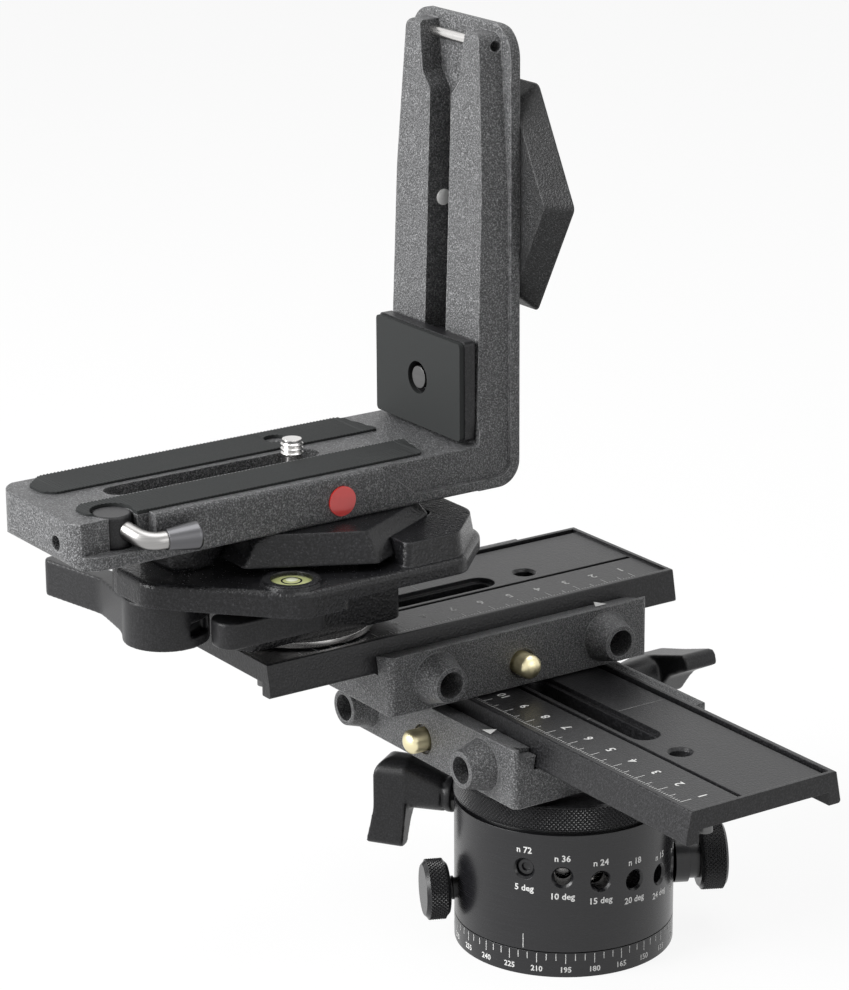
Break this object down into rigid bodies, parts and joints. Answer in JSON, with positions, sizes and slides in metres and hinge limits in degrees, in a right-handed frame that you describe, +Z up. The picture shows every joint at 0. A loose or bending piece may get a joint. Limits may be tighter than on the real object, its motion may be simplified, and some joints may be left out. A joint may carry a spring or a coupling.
{
  "type": "panoramic camera head",
  "caption": "Panoramic tripod head: indexing rotation unit, crossed scale plates, quick release clamp with lever and level, and an elbow bracket with camera screws.",
  "frame": {"origin": "on the rotation axis, at the tripod face of the base", "axes": "+Z up along the rotation axis; +X along the lower plate's travel, to its scaled end; +Y along the upper plate's travel, towards the upright arm's outer face"},
  "size_m": [0.1945, 0.2023, 0.2597],
  "materials": {
    "black_anodised": "satin black anodised",
    "scale_black": "satin black with white graduations",
    "knurled_black": "knurled black",
    "powder_coat": "speckled dark grey powder coat",
    "plate_black": "smooth satin black",
    "gloss_casting": "glossy black casting",
    "lever_black": "smooth dark satin",
    "steel": "polished steel",
    "brass": "turned brass",
    "rubber_grip": "ribbed rubber",
    "sleeve_grey": "grey plastic sleeve",
    "disc_red": "plain red enamel",
    "level_lime": "lime level vial",
    "dark_steel": "blackened steel"
  },
  "bodies": {
    "base": {"scale_ring": "scale_black", "tripod_bush": "steel", "pan_spindle": "dark_steel", "detent_drum": "steel", "spindle_nut": "dark_steel"},
    "rotor": {"rotor_housing": "scale_black", "thrust_washer": "brass", "knurled_ring": "knurled_black", "top_disc": "black_anodised", "saddle_screws": "dark_steel", "plunger_collar": "black_anodised", "plunger_spring": "steel", "lower_saddle": "powder_coat", "lower_clamp_bar": "powder_coat", "lower_guide_pins": "dark_steel", "lower_button_spring": "steel"},
    "plunger": {"plunger_pin": "steel", "plunger_knob": "knurled_black"},
    "drag": {"drag_thumbscrew": "knurled_black"},
    "pan_lock": {"pan_lock_lever": "lever_black", "pan_lock_screw": "dark_steel"},
    "lower_lock": {"lower_lock_lever": "lever_black", "lower_lock_screw": "dark_steel"},
    "lower_button": {"lower_stop_button": "brass"},
    "lower_slide": {"lower_plate": "plate_black", "lower_end_stops": "dark_steel", "cross_screws": "dark_steel", "upper_saddle": "powder_coat", "upper_clamp_bar": "powder_coat", "upper_guide_pins": "dark_steel", "upper_button_spring": "steel"},
    "upper_lock": {"upper_lock_lever": "lever_black", "upper_lock_screw": "dark_steel"},
    "upper_button": {"upper_stop_button": "brass"},
    "upper_slide": {"upper_plate": "plate_black", "upper_end_stops": "dark_steel", "clamp_disc": "steel", "clamp_bolt": "dark_steel", "clamp_body": "gloss_casting", "clamp_pins": "steel", "level_cup": "gloss_casting", "level_vial": "level_lime", "elbow_bracket": "powder_coat", "base_hex_plate": "gloss_casting", "arm_hex_plate": "powder_coat", "grip_strips": "rubber_grip", "slot_pin": "steel", "badge_disc": "disc_red"},
    "clamp_jaw": {"moving_jaw": "gloss_casting"},
    "clamp_lever": {"main_lever": "lever_black"},
    "catch": {"safety_catch": "lever_black"},
    "screw_carriage": {"screw_washer": "dark_steel"},
    "camera_screw": {"camera_screw": "steel"},
    "swing": {"swing_barrel": "lever_black", "swing_lever": "steel", "lever_sleeve": "sleeve_grey"},
    "arm_plate": {"arm_camera_plate": "plate_black", "arm_pad": "rubber_grip"},
    "arm_screw": {"arm_screw": "steel"}
  },
  "joints": [
    {"name": "pan", "type": "hinge", "parent": "base", "child": "rotor", "pos_m": [0, 0, 0], "axis": [0, 0, 1], "continuous": true},
    {"name": "plunger_pull", "type": "slide", "parent": "rotor", "child": "plunger", "axis": [0.4621, 0.8868, 0], "range_m": [0, 0.003], "stiffness_N_per_m": 600, "springref_m": -0.003, "deforming": ["plunger_spring"]},
    {"name": "drag_turn", "type": "hinge", "parent": "rotor", "child": "drag", "pos_m": [-0.01394, -0.03101, 0.0162], "axis": [-0.4099, -0.9121, 0], "continuous": true},
    {"name": "pan_lock_turn", "type": "hinge", "parent": "rotor", "child": "pan_lock", "pos_m": [-0.02825, -0.01891, 0.0375], "axis": [-0.831, -0.5563, 0], "range_deg": [-60, 60]},
    {"name": "lower_slide_travel", "type": "slide", "parent": "rotor", "child": "lower_slide", "axis": [1, 0, 0], "range_m": [-0.101, 0.018]},
    {"name": "lower_lock_turn", "type": "hinge", "parent": "rotor", "child": "lower_lock", "pos_m": [-0.0228, 0.035, 0.06105], "axis": [0, 1, 0], "range_deg": [-60, 60]},
    {"name": "lower_button_press", "type": "slide", "parent": "rotor", "child": "lower_button", "axis": [0, 1, 0], "range_m": [0, 0.003], "stiffness_N_per_m": 600, "springref_m": -0.003, "deforming": ["lower_button_spring"]},
    {"name": "upper_slide_travel", "type": "slide", "parent": "lower_slide", "child": "upper_slide", "axis": [0, 1, 0], "range_m": [-0.051, 0.07]},
    {"name": "upper_lock_turn", "type": "hinge", "parent": "lower_slide", "child": "upper_lock", "pos_m": [-0.0802, -0.006, 0.0814], "axis": [-1, 0, 0], "range_deg": [-60, 60]},
    {"name": "upper_button_press", "type": "slide", "parent": "lower_slide", "child": "upper_button", "axis": [-1, 0, 0], "range_m": [0, 0.003], "stiffness_N_per_m": 600, "springref_m": -0.003, "deforming": ["upper_button_spring"]},
    {"name": "clamp_lever_turn", "type": "hinge", "parent": "upper_slide", "child": "clamp_lever", "pos_m": [-0.0421, -0.1045, 0.1], "axis": [0, 0, 1], "range_deg": [0, 80]},
    {"name": "clamp_jaw_travel", "type": "slide", "parent": "upper_slide", "child": "clamp_jaw", "axis": [0, -1, 0], "range_m": [0, 0.005]},
    {"name": "catch_turn", "type": "hinge", "parent": "upper_slide", "child": "catch", "pos_m": [-0.0211, -0.074, 0.1], "axis": [0, 0, 1], "range_deg": [0, 20], "stiffness_Nm_per_rad": 0.05, "springref_deg": -17.19},
    {"name": "camera_screw_travel", "type": "slide", "parent": "upper_slide", "child": "screw_carriage", "axis": [0, 1, 0], "range_m": [-0.054, 0.0035]},
    {"name": "camera_screw_turn", "type": "hinge", "parent": "screw_carriage", "child": "camera_screw", "pos_m": [-0.0451, -0.061, 0.135], "axis": [0, 0, 1], "continuous": true},
    {"name": "swing_lever_turn", "type": "hinge", "parent": "upper_slide", "child": "swing", "pos_m": [-0.0296, -0.1272, 0.136], "axis": [0, 0, -1], "range_deg": [0, 30]},
    {"name": "arm_plate_travel", "type": "slide", "parent": "upper_slide", "child": "arm_plate", "axis": [0, 0, 1], "range_m": [0, 0.065]},
    {"name": "arm_screw_turn", "type": "hinge", "parent": "arm_plate", "child": "arm_screw", "pos_m": [-0.0451, -0.014, 0.1583], "axis": [0, 1, 0], "continuous": true}
  ],
  "couplings": [
    {"joint": "clamp_jaw_travel", "follows": "clamp_lever_turn", "m_per_rad": 0.00358}
  ]
}
